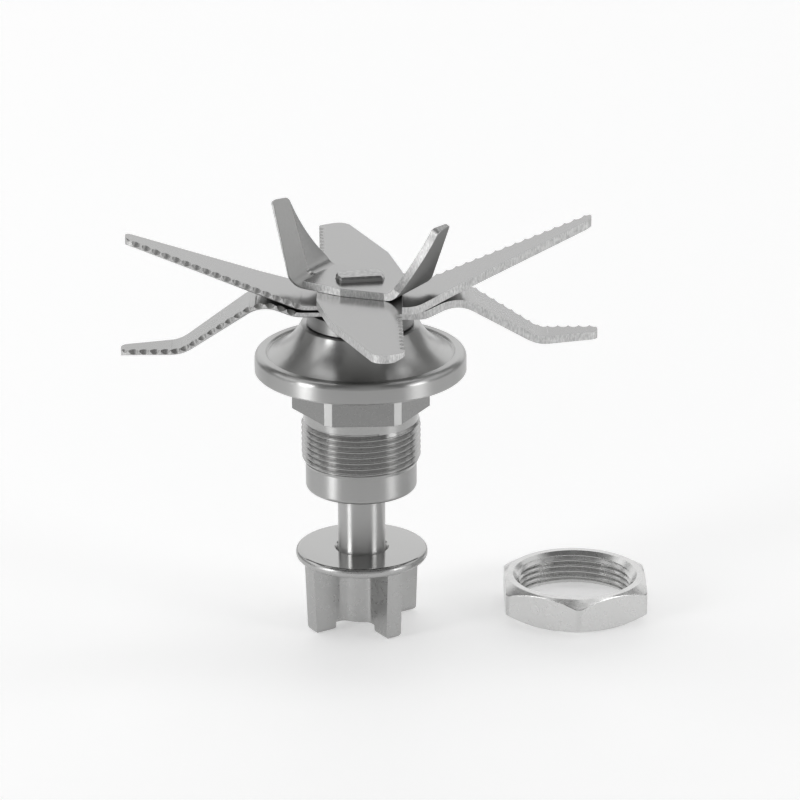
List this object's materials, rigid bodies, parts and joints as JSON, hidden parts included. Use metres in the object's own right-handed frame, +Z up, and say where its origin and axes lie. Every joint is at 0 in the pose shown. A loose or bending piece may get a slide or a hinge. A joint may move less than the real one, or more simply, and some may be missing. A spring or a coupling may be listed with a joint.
{
  "type": "blender blade assembly",
  "caption": "Stainless blender blade unit: stacked bent and toothed blades on a spindle in a flanged, threaded bearing housing, with a vaned drive coupling and a loose retaining nut.",
  "frame": {"origin": "on the spindle's axis, at the flange underside that seats on the jug's floor", "axes": "+Z up along the spindle towards the blades, +X towards the loose nut, +Y away from the viewer"},
  "size_m": [0.132, 0.105, 0.1091],
  "materials": {
    "turned_steel": "fine turned stainless steel, satin",
    "plate_steel": "rolled stainless plate with cut and ground edges",
    "cast_steel": "cast stainless steel, tumbled and lightly polished",
    "plated_nut": "bright plated steel",
    "bronze": "sintered bronze, oil soaked",
    "nylon": "natural nylon",
    "spring_steel": "dark spring steel",
    "seal_rubber": "black nitrile rubber"
  },
  "bodies": {
    "housing": {"bearing_housing": "turned_steel", "upper_bush": "bronze", "lower_bush": "bronze", "upper_nylon_washer": "nylon", "lower_nylon_washer": "nylon", "lower_steel_washer": "turned_steel", "upper_seal_case": "turned_steel", "upper_seal_lip": "seal_rubber", "lower_seal_case": "turned_steel", "lower_seal_lip": "seal_rubber", "retaining_nut": "plated_nut"},
    "rotor": {"spindle": "turned_steel", "spindle_clip": "spring_steel", "blade_collar": "turned_steel", "lowered_blade": "plate_steel", "raised_blade": "plate_steel", "flat_blade": "plate_steel", "top_blade": "plate_steel", "drive_coupling": "cast_steel"}
  },
  "joints": [
    {"name": "spindle_spin", "type": "hinge", "parent": "housing", "child": "rotor", "pos_m": [0, 0, 0], "axis": [0, 0, 1], "continuous": true}
  ]
}
